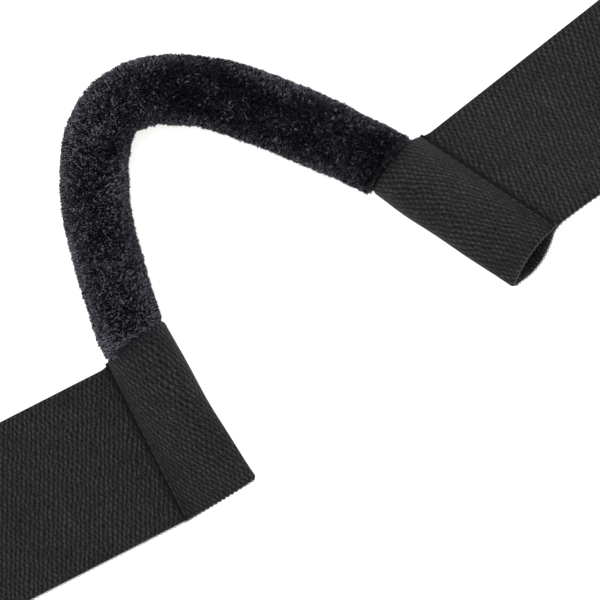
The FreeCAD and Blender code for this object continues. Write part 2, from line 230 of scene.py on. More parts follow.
def band_mesh(name, middle, marks, half, start_u, flip, slots, loops_from=None):
    """Closed web mesh from its middle surface (rows along, columns across) and half thickness.

    Top and underside lie half a thickness off the middle along its normal, joined into one ring
    of points per row.  The weave map holds the distance along the web and the place across it.
    """
    along = np.gradient(middle, axis=0)
    across = np.gradient(middle, marks, axis=1)
    normal = unit(np.cross(along, across))
    rows, columns = middle.shape[:2]
    top = middle + normal * half[None, :, None]
    under = (middle - normal * half[None, :, None])[:, -2:0:-1]
    points = np.concatenate([top, under], 1)
    ring = points.shape[1]
    run = np.linalg.norm(np.diff(middle[:, columns // 2], axis=0), axis=1)
    run = start_u + np.concatenate([[0], np.cumsum(run)])
    place = np.concatenate([marks, marks[-2:0:-1]])
    if flip:
        place = web_width - place
    index = np.arange(rows * ring).reshape(rows, ring)
    nxt = np.roll(index, -1, axis=1)
    faces = np.stack([index[:-1], nxt[:-1], nxt[1:], index[1:]], -1).reshape(-1, 4)
    column = np.arange(columns - 1)
    below = (ring - column) % ring
    below_next = ring - column - 1
    first = np.stack([index[0][column], index[0][below], index[0][below_next], index[0][column + 1]], -1)
    last = np.stack([index[-1][column], index[-1][column + 1], index[-1][below_next], index[-1][below]], -1)
    ends = np.concatenate([first, last])
    tips = np.array([len(set(face)) for face in ends.tolist()])
    quads = np.concatenate([faces, ends[tips == 4]])
    points = points.reshape(-1, 3)
    texture = np.stack([np.repeat(run, ring), np.tile(place, rows)], 1)
    tris = []
    for face in ends[tips == 3].tolist():
        kept = []
        for corner in face:
            if corner not in kept:
                kept.append(corner)
        tris.append(kept)
    thread_faces = np.zeros((0, 4), int)
    if loops_from is not None:
        loop_points, thread_faces, loop_texture = loops_from(middle, across, along, run)
        thread_faces = thread_faces + len(points)
        points = np.concatenate([points, loop_points])
        texture = np.concatenate([texture, loop_texture])
    all_faces = quads.tolist() + tris + thread_faces.tolist()
    mesh = bpy.data.meshes.new(name)
    mesh.from_pydata((points * MM).tolist(), [], all_faces)
    layer = mesh.uv_layers.new(name="weave")
    corners = np.zeros(len(mesh.loops), np.int32)
    mesh.loops.foreach_get("vertex_index", corners)
    layer.data.foreach_set("uv", texture[corners].astype(np.float32).ravel())
    for slot in slots:
        mesh.materials.append(slot)
    kinds = np.zeros(len(all_faces), np.int32)
    kinds[len(quads) + len(tris):] = 1
    mesh.polygons.foreach_set("material_index", kinds)
    mesh.polygons.foreach_set("use_smooth", np.ones(len(all_faces), bool))
    mesh.update()
    piece = bpy.data.objects.new(name, mesh)
    bpy.context.collection.objects.link(piece)
    return piece


class Nodes:
    """A strap material being put together: adds shader nodes, sets them and joins them up."""

    def __init__(self, name):
        self.material = bpy.data.materials.new(name)
        self.material.use_nodes = True
        self.tree = self.material.node_tree
        self.surface = self.tree.nodes["Principled BSDF"]

    def add(self, kind, settings=None, **values):
        """New node with its settings and its inputs, by name, or by number as i0 and i1."""
        node = self.tree.nodes.new(kind)
        for key, value in (settings or {}).items():
            setattr(node, key, value)
        for key, value in values.items():
            numbered = key[0] == "i" and key[1:].isdigit()
            self.put(node, int(key[1:]) if numbered else key, value)
        return node

    def put(self, node, key, value):
        """Join an output to an input, or set the input's own value."""
        if isinstance(value, bpy.types.NodeSocket):
            self.tree.links.new(value, node.inputs[key])
        else:
            node.inputs[key].default_value = value

    def maths(self, operation, first, second=0.0, third=0.0):
        """One sum of two numbers, or first times second plus third."""
        node = self.add("ShaderNodeMath", {"operation": operation}, i0=first, i1=second)
        if operation == "MULTIPLY_ADD":
            self.put(node, 2, third)
        return node.outputs[0]

    def ramp(self, value, low, high, first, last):
        """Value mapped smoothly from low..high to first..last."""
        node = self.add("ShaderNodeMapRange", {"interpolation_type": "SMOOTHSTEP"}, Value=value)
        for key, number in (("From Min", low), ("From Max", high), ("To Min", first), ("To Max", last)):
            node.inputs[key].default_value = number
        return node.outputs["Result"]

    def blend(self, share, first, second):
        """Colour mixed from first to second by share."""
        node = self.add("ShaderNodeMix", {"data_type": "RGBA"})
        self.put(node, 0, share)
        self.put(node, 6, first)
        self.put(node, 7, second)
        return node.outputs[2]

    def noise(self, scale, detail=2.0, vector=None):
        """Cloudy value from 0 to 1, in Object coordinates unless another place is given."""
        if vector is None:
            vector = self.add("ShaderNodeTexCoord").outputs["Object"]
        node = self.add("ShaderNodeTexNoise", Vector=vector, Scale=scale, Detail=detail)
        return node.outputs["Fac"]

    def painted_shade_occlusion(self, reach):
        """Ambient occlusion, used to paint shade into a colour: 1 in the open and less towards folds, gaps
        and the inside of a tunnel.
        """
        node = self.add("ShaderNodeAmbientOcclusion", {"samples": 6}, Distance=reach)
        return node.outputs["AO"]

    def bump(self, height, distance, strength=1.0):
        """Tilts the surface by a height map whose full height is distance, in metres."""
        node = self.add("ShaderNodeBump", Height=height, Distance=distance, Strength=strength)
        self.put(self.surface, "Normal", node.outputs["Normal"])


def twisted_material(name, dark, light, stripes, roughness):
    """Wound or braided yarn: slanting stripes over fine fibre noise, in Object coordinates."""
    kit = Nodes(name)
    place = kit.add("ShaderNodeTexCoord").outputs["Object"]
    wave = kit.add("ShaderNodeTexWave", {"bands_direction": "DIAGONAL"}, Vector=place, Scale=stripes)
    wave.inputs["Distortion"].default_value = 1.5
    wave.inputs["Detail"].default_value = 2.0
    fibre = kit.noise(stripes * 6.0, 3.0, place)
    mix = kit.maths("MULTIPLY", wave.outputs["Fac"], fibre)
    kit.put(kit.surface, "Base Color", kit.blend(mix, (*dark, 1.0), (*light, 1.0)))
    kit.surface.inputs["Roughness"].default_value = roughness
    kit.bump(mix, 0.0003)
    return kit.material


def elastic_material():
    """Woven elastic, read from the weave map.

    Rows of slanting picks, each row staggered by about half a pick, have dark pits between them.
    Lightness is a base, plus the picks, less the pits, plus fine and coarse yarn noise.
    """
    kit = Nodes("elastic")
    place = kit.add("ShaderNodeUVMap", {"uv_map": "weave"}).outputs["UV"]
    split = kit.add("ShaderNodeSeparateXYZ", Vector=place)
    wobble = kit.noise(0.22, 2.0, place)
    jostle = kit.add("ShaderNodeTexNoise", Vector=place, Scale=1.1, Detail=2.0).outputs["Color"]
    push = kit.add("ShaderNodeSeparateXYZ", Vector=jostle)
    along = kit.maths("MULTIPLY_ADD", wobble, 1.6, split.outputs["X"])
    along = kit.maths("MULTIPLY_ADD", push.outputs["X"], 0.6, along)
    across = kit.maths("MULTIPLY_ADD", push.outputs["Y"], 0.6, split.outputs["Y"])
    row = kit.maths("DIVIDE", across, row_pitch)
    row_number = kit.maths("FLOOR", row)
    shifted = kit.maths("MULTIPLY_ADD", row_number, -0.536, kit.maths("DIVIDE", along, pick_pitch))
    cell = kit.maths("FLOOR", shifted)
    number = kit.add("ShaderNodeCombineXYZ", X=cell, Y=row_number).outputs["Vector"]
    luck = kit.add("ShaderNodeTexWhiteNoise", {"noise_dimensions": "2D"}, Vector=number)
    chance = luck.outputs["Value"]
    sway = kit.add("ShaderNodeSeparateXYZ", Vector=luck.outputs["Color"])
    in_row = kit.maths("SUBTRACT", kit.maths("FRACT", row), 0.5)
    in_cell = kit.maths("SUBTRACT", kit.maths("FRACT", shifted), 0.5)
    in_cell = kit.maths("MULTIPLY_ADD", kit.maths("SUBTRACT", sway.outputs["Z"], 0.5), 0.3, in_cell)
    # Picks and the pits between them lean about 60 degrees from the length of the web.
    yarn = kit.noise(1.9, 2.5, place)
    fine = kit.noise(4.2, 2.0, place)

    def lattice(place_in_cell, tall, narrow):
        """1 at the middle of each leaning pick or pit, falling off round it."""
        halfway = kit.maths("MULTIPLY", place_in_cell, 0.5)
        lengthwise = kit.maths("MULTIPLY_ADD", in_row, 0.866, halfway)
        lean_over = kit.maths("MULTIPLY", place_in_cell, 0.866)
        crosswise = kit.maths("SUBTRACT", kit.maths("MULTIPLY", in_row, 0.5), lean_over)
        far = kit.maths("POWER", kit.maths("ABSOLUTE", kit.maths("MULTIPLY", lengthwise, tall)), 2.0)
        wide = kit.maths("POWER", kit.maths("ABSOLUTE", kit.maths("MULTIPLY", crosswise, narrow)), 2.0)
        ragged = kit.maths("SUBTRACT", yarn, 0.5)
        spread = kit.maths("MULTIPLY_ADD", ragged, 1.8, kit.maths("ADD", far, wide))
        return kit.ramp(spread, -0.2, 1.3, 1.0, 0.0)

    pick = kit.maths("MULTIPLY", lattice(in_cell, 2.0, 3.6), kit.ramp(chance, 0.0, 1.0, 0.3, 1.2))
    beside = kit.maths("SUBTRACT", kit.maths("FRACT", kit.maths("ADD", shifted, 0.5)), 0.5)
    pit = kit.maths("MULTIPLY", lattice(beside, 2.1, 3.8), kit.ramp(sway.outputs["Y"], 0.0, 1.0, 0.5, 1.0))
    patch = kit.noise(0.05, 2.0, place)
    share = kit.maths("MULTIPLY_ADD", pick, 0.6, 0.24)
    share = kit.maths("MULTIPLY_ADD", pit, -0.6, share)
    share = kit.maths("MULTIPLY_ADD", kit.maths("SUBTRACT", fine, 0.5), 2.6, share)
    share = kit.maths("MULTIPLY_ADD", kit.maths("SUBTRACT", yarn, 0.5), 1.6, share)
    share = kit.maths("MULTIPLY", share, kit.ramp(patch, 0.3, 0.7, 0.88, 1.1))
    lift = kit.maths("SUBTRACT", pick, pit)
    colour = kit.blend(share, (0.0030, 0.0026, 0.0031, 1.0), (0.056, 0.050, 0.056, 1.0))
    # Painted shade: the cut edge at the seam is painted near black as the shade line of the seam's step,
    # folds, gaps and the inside of a tunnel are painted dark from an ambient occlusion reading, and the
    # wall beside the seam is painted a little darker than the rest to cancel the light falling on its
    # slope.
    painted_shade_factor = kit.maths("MULTIPLY", kit.ramp(split.outputs["X"], 0.2, 1.3, 0.05, 1.0),
                         kit.ramp(kit.painted_shade_occlusion(0.012), 0.3, 0.82, 0.05, 1.0))
    painted_shade_factor = kit.maths("MULTIPLY", painted_shade_factor, kit.ramp(split.outputs["X"], 1.3, 8.0, 0.62, 1.0))
    # The colour is mixed towards near black by the painted shade factor.
    colour = kit.blend(painted_shade_factor, (0.0012, 0.0010, 0.0012, 1.0), colour)
    kit.put(kit.surface, "Base Color", colour)
    kit.surface.inputs["Roughness"].default_value = 0.85
    kit.surface.inputs["Specular IOR Level"].default_value = 0.16
    kit.surface.inputs["Sheen Weight"].default_value = 0.03
    kit.surface.inputs["Sheen Roughness"].default_value = 0.5
    height = kit.maths("ADD", lift, kit.maths("MULTIPLY", yarn, 0.35))
    kit.bump(height, 0.00028, 0.8)
    return kit.material


def edge_loops(middle, across, along, run):
    """Knitted selvage: a small thread loop every 1.5 mm along the web's far edge.

    Each loop is two thirds of a circle in the plane of the web, swept by a four-sided yarn.
    """
    loop_pitch, loop_radius, thick = 1.5, 0.62, 0.13
    places = np.arange(run[0] + 0.5, run[-1], loop_pitch)
    base = np.stack([np.interp(places, run, middle[:, -1, k]) for k in range(3)], 1)
    out_way = unit(np.stack([np.interp(places, run, across[:, -1, k]) for k in range(3)], 1))
    run_way = unit(np.stack([np.interp(places, run, along[:, -1, k]) for k in range(3)], 1))
    up_way = unit(np.cross(run_way, out_way))
    turn = np.linspace(-0.15 * math.pi, 1.15 * math.pi, 7)
    loop_x = loop_radius * np.cos(turn)
    loop_y = -0.25 + loop_radius * np.sin(turn)
    ring = np.linspace(0, 2 * math.pi, 5)[:-1]
    local_run = (loop_x[:, None] + thick * np.cos(ring)[None] * np.cos(turn)[:, None]).ravel()
    local_out = (loop_y[:, None] + thick * np.cos(ring)[None] * np.sin(turn)[:, None]).ravel()
    local_up = np.tile(thick * np.sin(ring), len(turn))
    points = (base[:, None] + run_way[:, None] * local_run[None, :, None]
              + out_way[:, None] * local_out[None, :, None] + up_way[:, None] * local_up[None, :, None])
    count = len(turn) * 4
    index = np.arange(count).reshape(len(turn), 4)
    nxt = np.roll(index, -1, axis=1)
    one = np.stack([index[:-1], index[1:], nxt[1:], nxt[:-1]], -1).reshape(-1, 4)
    caps = np.array([[0, 1, 2, 3], [count - 1, count - 2, count - 3, count - 4]])
    one = np.concatenate([one, caps])
    faces = (one[None] + (np.arange(len(places)) * count)[:, None, None]).reshape(-1, 4)
    texture = np.stack([np.repeat(places, count), np.full(len(places) * count, web_width)], 1)
    return points.reshape(-1, 3), faces, texture


elastic = elastic_material()
selvage_material = twisted_material("selvage_yarn", (0.03, 0.03, 0.03), (0.36, 0.36, 0.34), 1200.0, 0.7)
marks, half = across_marks(web_width, web_thickness)


def arm_surface(side, distance, q):
    """Middle of the arm at distances from the seam hinge and places across the web.

    The left arm is flat.  The right arm's way across starts along its rolled seam, and turns and
    levels smoothly with distance until the arm lies flat.
    """
    origin, across_way, seam_way, up = side_frame(side)
    hinge, _ = joint_line(side + "_fold")
    way = np.array(joints[side + "_stretch"]["axis"], float)
    distance = np.asarray(distance, float)[:, None]
    if side == "left":
        near = hinge + way * distance
        across = np.repeat(seam_way[None], len(distance), 0)
        return near[:, None] + across[:, None] * q[None, :, None]
    share = distance / arm_length
    heading = math.degrees(math.atan2(way[1], way[0]))
    seam_angle = math.degrees(math.atan2(seam_way[1], seam_way[0]))
    roll = math.asin(seam_way[2])
    angle = np.radians(seam_angle + (heading - 90.0 - seam_angle) * smooth(share * 1.4))
    tilt = roll * (1 - smooth(share * 1.15))
    across = np.concatenate([np.cos(tilt) * np.cos(angle), np.cos(tilt) * np.sin(angle), np.sin(tilt)], 1)
    near = hinge + way * distance
    near[:, 2] = 1.0 + (hinge[2] - 1.0) * (1 - smooth(share[:, 0] * 4.0))
    return near[:, None] + across[:, None] * q[None, :, None]


def tunnel_piece(side, near, far, slant, lean, setback):
    """Folded web from its cut edge round the tunnel, under the seam and a little way along the arm.

    Its outline eases from the near one to the far one.  The mouth's edge is set forward and
    leans with height, and the far edge is cut a little askew.
    """
    origin, across_way, seam_way, up = side_frame(side)
    share = (marks / web_width)[None, :, None]
    ease = share ** 2.1
    line = near[:, None] * (1 - ease) + far[:, None] * ease
    rough = waves(line[..., 1] * 0.25 + marks[None] * 0.16, line[..., 0] * 0.2, 8, 0.5, 1.6, 31)
    line[..., 1] += 0.16 * rough * smooth(-line[..., 0] / 6.0)
    line[..., 0] += 0.22 * waves(marks[None] * 0.22, line[..., 0] * 0.05, 8, 0.5, 1.6, 33) * smooth(
        -line[..., 0] / 12.0)
    x, z = line[..., 0], line[..., 1]
    mouth = 1 - smooth(marks / 26.0)[None]
    y = marks[None] + slant[0] * x * mouth + slant[1] * x * (1 - mouth) + (lean * z + setback) * mouth
    grid = origin + across_way * x[..., None] + seam_way * y[..., None] + up * z[..., None]
    tail = arm_surface(side, np.linspace(0.0, seam_tail, 16), marks)
    first = grid[-1] * 0.5 + tail[0] * 0.5
    middle = np.concatenate([grid[:-1], first[None], tail[1:]])
    piece = band_mesh(side + "_tunnel_elastic", middle, marks, half, 0.0, side == "right",
                      (elastic, selvage_material), edge_loops)
    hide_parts(side + "_tunnel")
    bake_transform(piece)
    length = float(np.linalg.norm(np.diff(middle[:, len(marks) // 2], axis=0), axis=1).sum())
    return length


tunnel_length = {}
tunnel_length["left"] = tunnel_piece(
    "left", softened(full_mouth(21.4, 14.0, 5.6), 0.8, 150),
    softened(slack_mouth(24.5, 4.4, 0.9, 1.3, 2.3), 0.6, 150), (0.10, 0.08), -0.28, -0.3)
tunnel_length["right"] = tunnel_piece(
    "right", softened(full_mouth(22.3, 14.0, 5.6), 0.8, 150),
    softened(slack_mouth(21.2, 5.2, -4.6, 1.9, 0.4), 0.6, 150), (0.0, 0.0), 0.25, -1.4)


# ---- Elastic arms -----------------------------------------------------------------------------
# The same web carries on from each seam.  Its far edge has small knitted selvage loops, and
# the right arm lies rolled up at the seam and flattens onto the floor as it goes outward.
def arm_piece(side):
    """Single web from just past the seam to the sewn patch of the foot loop."""
    middle = arm_surface(side, np.linspace(seam_tail, arm_length, 150), marks)
    piece = band_mesh(side + "_arm_elastic", middle, marks, half, tunnel_length[side],
                      side == "right", (elastic, selvage_material), edge_loops)
    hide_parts(side + "_arm_web")
    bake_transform(piece)


arm_piece("left")
arm_piece("right")


# ---- Foot loops -------------------------------------------------------------------------------
# The outer end of each arm is folded back over itself and box-stitched, leaving a loop.
def loop_line():
    """Middle of the loop in x and z: out along the floor, round the nose and back to the patch."""
    nose = np.radians(np.linspace(-90, 95, 40))
    nose_at, nose_radius = 107, 12
    out = np.stack([np.linspace(0, nose_at, 60), np.full(60, lower_layer)], 1)
    tip = np.stack([nose_at + nose_radius * np.cos(nose),
                    lower_layer + nose_radius + nose_radius * np.sin(nose)], 1)
    back = np.stack([np.linspace(100, 46, 30), np.linspace(24.0, 4.2, 30)], 1)
    patch = np.stack([np.linspace(34, 1.0, 20), np.full(20, 2.95)], 1)
    line = even(np.concatenate([out, tip, back, patch]), 900)
    step = np.linalg.norm(line[1] - line[0])
    return even(soften(line, 2.5 / step), 260)


def loop_piece(side):
    """Foot loop of the same web, from the end of the arm back to its own cut end."""
    end = arm_surface(side, np.array([arm_length]), marks)[0]
    way = np.array(joints[side + "_stretch"]["axis"], float)
    line = loop_line()
    rise = np.array([0, 0, 1.0]) * (line[:, None, 1:] - lower_layer)
    middle = end[None] + way * line[:, None, :1] + rise
    start_u = tunnel_length[side] + arm_length - seam_tail
    piece = band_mesh(side + "_loop_elastic", middle, marks, half, start_u,
                      side == "right", (elastic, selvage_material), edge_loops)
    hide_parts(side + "_foot_loop")
    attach(piece, side + "_loop")


loop_piece("left")
loop_piece("right")


# ---- Stitching --------------------------------------------------------------------------------
# Bonded black thread: a lockstitch row along each tunnel seam and a box with a cross on each
# loop.  Every stitch is a short thread pulled down into the elastic at its two needle holes.
thread_material = twisted_material("thread", (0.006, 0.006, 0.007), (0.05, 0.05, 0.055), 900.0, 0.45)


def stitch_rows(name, starts, ends, ups, body, nodes, radius=0.26, length=2.7):
    """Rows of stitches from start to end points, each lying on the cloth with its ends sunk.

    A stitch is a low arch, half a sine wave to the power 0.6, swept by a six-sided thread that
    thins towards the needle holes.
    """
    shape = np.linspace(0, 1, 7)
    arch = 0.34 * np.sin(math.pi * shape) ** 0.6 - 0.16
    thick = radius * (0.55 + 0.45 * np.sin(math.pi * shape) ** 0.5)
    ring = np.linspace(0, 2 * math.pi, 7)[:-1]
    points = []
    for first, last, up in zip(starts, ends, ups):
        span = np.linalg.norm(last - first)
        number = max(1, int(round(span / length)))
        way = (last - first) / span
        side = np.cross(way, up)
        for k in range(number):
            a = first + way * (span * k / number + 0.12)
            size = span / number - 0.24
            arc = a + way * (shape * size)[:, None] + up * arch[:, None]
            circle = (side[None, None] * np.cos(ring)[None, :, None]
                      + up[None, None] * np.sin(ring)[None, :, None])
            points.append(arc[:, None] + circle * thick[:, None, None])
    points = np.array(points)
    count = 7 * 6
    index = np.arange(count).reshape(7, 6)
    nxt = np.roll(index, -1, axis=1)
    one = np.stack([index[:-1], nxt[:-1], nxt[1:], index[1:]], -1).reshape(-1, 4)
    faces = (one[None] + (np.arange(len(points)) * count)[:, None, None]).reshape(-1, 4).tolist()
    for k in range(len(points)):
        faces.append([k * count + j for j in range(5, -1, -1)])
        faces.append([k * count + 36 + j for j in range(6)])
    mesh = bpy.data.meshes.new(name)
    mesh.from_pydata((points.reshape(-1, 3) * MM).tolist(), [], faces)
    mesh.polygons.foreach_set("use_smooth", np.ones(len(faces), bool))
    mesh.materials.append(thread_material)
    mesh.update()
    piece = bpy.data.objects.new(name, mesh)
    bpy.context.collection.objects.link(piece)
    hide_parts(*nodes)
    if body:
        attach(piece, body)
    return piece


for side in ("left", "right"):
    origin, across_way, seam_way, up = side_frame(side)
    seam = origin - across_way * 0.9
    top, bottom, inset = 3.95, 0.05, 1.5
    stitch_rows(side + "_seam_stitches",
                [seam + seam_way * inset + up * top, seam + seam_way * inset + up * bottom],
                [seam + seam_way * (web_width - inset) + up * top,
                 seam + seam_way * (web_width - inset) + up * bottom],
                [up, -up], "handle" if side == "left" else "right_end", [side + "_seam_thread"])
    corner = arm_surface(side, np.array([arm_length]), np.array([0.0, web_width]))[0]
    way = np.array(joints[side + "_stretch"]["axis"], float)
    width_way = unit(corner[1] - corner[0])
    lift = np.array([0, 0, 1.0])
    box = [(4.0, 5.0), (24.0, 5.0), (24.0, 45.0), (4.0, 45.0)]  # along and across the patch
    runs = list(zip(box, box[1:] + box[:1])) + [(box[0], box[2]), (box[1], box[3])]
    starts, ends, ups = [], [], []
    for level, face in ((2.92, 1.0), (-0.97, -1.0)):
        for (x0, y0), (x1, y1) in runs:
            starts.append(corner[0] + way * x0 + width_way * y0 + lift * level)
            ends.append(corner[0] + way * x1 + width_way * y1 + lift * level)
            ups.append(lift * face)
    stitch_rows(side + "_loop_stitches", starts, ends, ups, side + "_loop", [side + "_loop_stitching"])


# ---- Plush sleeve -------------------------------------------------------------------------------
# Short-pile plush sewn into a tube round the foam.  The pile is dense, soft and slightly
# brushed, it creases on the inside of the bend, and each end is squeezed into a tunnel.
neck_half_width, neck_half_height = 5.9, 4.5


def rounded_route(corners, radii, step):
    """Evenly spaced points on straight runs whose corners are rounded by arcs of given radii.

    An arc leaves each run at radius over the tangent of half the corner's angle, and its centre
    lies on the corner's bisector.
    """
    parts = []
    last = corners[0]
    for k, radius in enumerate(radii):
        corner = corners[k + 1]
        back = unit(corners[k] - corner)
        ahead = unit(corners[k + 2] - corner)
        half_turn = math.acos(np.clip(np.dot(back, ahead), -1, 1)) / 2
        reach = radius / math.tan(half_turn)
        middle = unit(back + ahead)
        centre = corner + middle * radius / math.sin(half_turn)
        side = unit(np.cross(np.cross(back, ahead), middle))
        spread = np.linspace(-(math.pi / 2 - half_turn), math.pi / 2 - half_turn, 24)[:, None]
        sign = 1.0 if np.dot(side, ahead - back) > 0 else -1.0
        arc = centre - middle * radius * np.cos(spread) + side * sign * radius * np.sin(spread)
        parts += [np.linspace(last, corner + back * reach, 20)[:-1], arc[:-1]]
        last = corner + ahead * reach
    parts.append(np.linspace(last, corners[-1], 20))
    line = np.concatenate(parts)
    length = np.linalg.norm(np.diff(line, axis=0), axis=1).sum()
    return even(line, int(length / step))


def handle_route():
    """Middle line of the handle from inside the left tunnel to inside the right one."""
    left_origin, left_across, left_seam, left_up = side_frame("left")
    right_origin, right_across, right_seam, right_up = side_frame("right")
    bend, _ = joint_line("handle_bend")
    corner = bend + np.array([-5.86, 5.86, 0.0])
    left_tip = left_origin - left_across * 12.0 + left_seam * 23 + left_up * 6.9
    left_mouth = left_origin - left_across * 11.2 - left_seam * 5.8 + left_up * 8.3
    right_tip = right_origin - right_across * 13.0 + right_seam * 23 + right_up * 6.9
    right_mouth = right_origin - right_across * 13.2 - right_seam * 1.5 + right_up * 8.3
    limb = corner + np.array([0, -37.5, 0.0])
    shoulder = corner + np.array([35.8, 0, 0.0])
    left_level = left_mouth + unit((limb - left_mouth) * (1, 1, 0)) * 9
    right_level = right_mouth + unit((shoulder - right_mouth) * (1, 1, 0)) * 12
    left_level[2] = right_level[2] = bend[2]
    corners = [left_tip, left_mouth, left_level, limb, corner, shoulder,
               right_level, right_mouth, right_tip]
    return rounded_route(corners, [16.0, 30.0, 70.0, 19.5, 68.0, 30.0, 14.0], 0.55)


route = handle_route()
route = soften(route, 5.0)
distance = np.concatenate([[0], np.cumsum(np.linalg.norm(np.diff(route, axis=0), axis=1))])
total = distance[-1]
forward = unit(np.gradient(route, axis=0))
outward = unit(np.cross(forward, (0, 0, 1.0)))
outward *= -1.0 if np.dot(outward[len(route) // 3], (-1, 1, 0)) < 0 else 1.0
upward = unit(np.cross(outward, forward))
upward *= np.sign(upward[:, 2:])
bend_point, _ = joint_line("handle_bend")
bend_at = distance[np.argmin(np.linalg.norm(route - bend_point, axis=1))]


def round_route(s, angle, wide, high):
    """Point and outward way on an oval tube of given half sizes along the handle's route.

    A point is the route's, plus the cosine of the angle times the half width sideways, plus the
    sine times the half height upward.
    """
    centre = np.stack([np.interp(s, distance, route[:, k]) for k in range(3)], -1)
    side_way = unit(np.stack([np.interp(s, distance, outward[:, k]) for k in range(3)], -1))
    up_way = unit(np.stack([np.interp(s, distance, upward[:, k]) for k in range(3)], -1))
    out = side_way * (np.cos(angle) * wide)[..., None] + up_way * (np.sin(angle) * high)[..., None]
    way = unit(side_way * (np.cos(angle) / wide)[..., None] + up_way * (np.sin(angle) / high)[..., None])
    return centre + out, way


def sleeve_surface(s, angle, inset=0.0):
    """Skin point and outward way at a distance along the handle and an angle round it.

    The radius eases from 8.9 mm on the left limb to 9.6 mm on the right one, less the creases
    on the inside of the bend, and each end is squeezed to an oval that fits its tunnel.
    """
    radius = 8.95 + 0.75 * smooth((s - bend_at) / 40.0) - 0.7 * smooth((s - total + 55.0) / 30.0)
    inner = np.clip(-np.cos(angle), 0, 1) ** 1.3
    creases = ((0.0, 1.3, 4.5), (-6.5, 0.35, 1.8), (7.5, 0.45, 2.0), (14.0, 0.3, 2.2))
    for offset, depth, reach in creases:
        radius = radius - depth * inner * np.exp(-((s - bend_at - offset) / reach) ** 2)
    radius = radius + 0.20 * waves(s / 6.0, angle * 1.4, 9, 0.5, 1.6, 3)
    radius = radius + 0.10 * waves(s / 2.0, angle * 4.0, 9, 0.5, 1.6, 5)
    arm_side = np.clip(np.cos(angle), 0, 1) ** 2
    into_left = smooth((29.6 - 4.0 * arm_side - s) / 2.8)
    into_right = smooth((s - (total - 24.2 - 0.8 * np.abs(np.cos(angle)) + 3.0 * arm_side)) / 2.8)
    squeeze = np.maximum(into_left, into_right)
    wide = radius * (1 - squeeze) + neck_half_width * squeeze - inset
    high = radius * (1 - squeeze) + neck_half_height * squeeze - inset
    return round_route(s, angle, wide, high)


def skin_tube(name, s_values, surface, material):
    """Closed tube piece from a surface function of distance and angle, with flat end caps."""
    sides = 72
    around = np.linspace(0, 2 * math.pi, sides + 1)[:-1]
    grid_s, grid_a = np.meshgrid(s_values, around, indexing="ij")
    points, _ = surface(grid_s, grid_a)
    rows, ring = grid_s.shape
    index = np.arange(rows * ring).reshape(rows, ring)
    nxt = np.roll(index, -1, axis=1)
    faces = np.stack([index[:-1], nxt[:-1], nxt[1:], index[1:]], -1).reshape(-1, 4).tolist()
    faces.append(index[0][::-1].tolist())
    faces.append(index[-1].tolist())
    mesh = bpy.data.meshes.new(name)
    mesh.from_pydata((points.reshape(-1, 3) * MM).tolist(), [], faces)
    mesh.polygons.foreach_set("use_smooth", np.ones(len(faces), bool))
    mesh.materials.append(material)
    mesh.update()
    piece = bpy.data.objects.new(name, mesh)
    bpy.context.collection.objects.link(piece)
    return piece


def plush_material(name, pile):
    """Plush: near-black fibres, a painted cool grey sheen towards the limbs' edges, and sparse bright tips,
    some of them painted glints.
    """
    kit = Nodes(name)
    place = kit.add("ShaderNodeTexCoord").outputs["Object"]
    brushed = kit.noise(90.0, 3.0, place)
    if pile:
        share = kit.add("ShaderNodeAttribute", {"attribute_name": "tone"}).outputs["Fac"]
    else:
        share = kit.ramp(kit.noise(2200.0, 2.0, place), 0.5, 0.8, 0.0, 0.3)
    # Painted sheen: the colour is lightened towards cool grey where the surface is seen at a grazing angle,
    # standing in for the pile's sheen at the limbs' rims. The brushed noise only varies the tone at random.
    edge = kit.add("ShaderNodeLayerWeight", Blend=0.5).outputs["Facing"]
    edge = kit.maths("POWER", edge, 2.2)
    nap = kit.maths("MULTIPLY_ADD", edge, 5.5, kit.ramp(brushed, 0.38, 0.62, 0.4, 1.3))
    share = kit.maths("MULTIPLY", share, nap)
    share = kit.maths("MULTIPLY_ADD", edge, 0.32, share)
    colour = kit.blend(share, (0.0022, 0.0021, 0.0034, 1.0), (0.235, 0.24, 0.285, 1.0))
    kit.put(kit.surface, "Base Color", colour)
    kit.surface.inputs["Roughness"].default_value = 0.7
    kit.surface.inputs["Specular IOR Level"].default_value = 0.04
    kit.surface.inputs["Sheen Weight"].default_value = 0.04
    kit.surface.inputs["Sheen Roughness"].default_value = 0.25
    kit.surface.inputs["Sheen Tint"].default_value = (0.75, 0.82, 1.0, 1.0)
    return kit.material


skin = skin_tube("plush_sleeve_skin", np.linspace(9.0, total - 9.0, 360), sleeve_surface,
                 plush_material("plush_backing", False))
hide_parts("plush_sleeve")
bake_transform(skin)


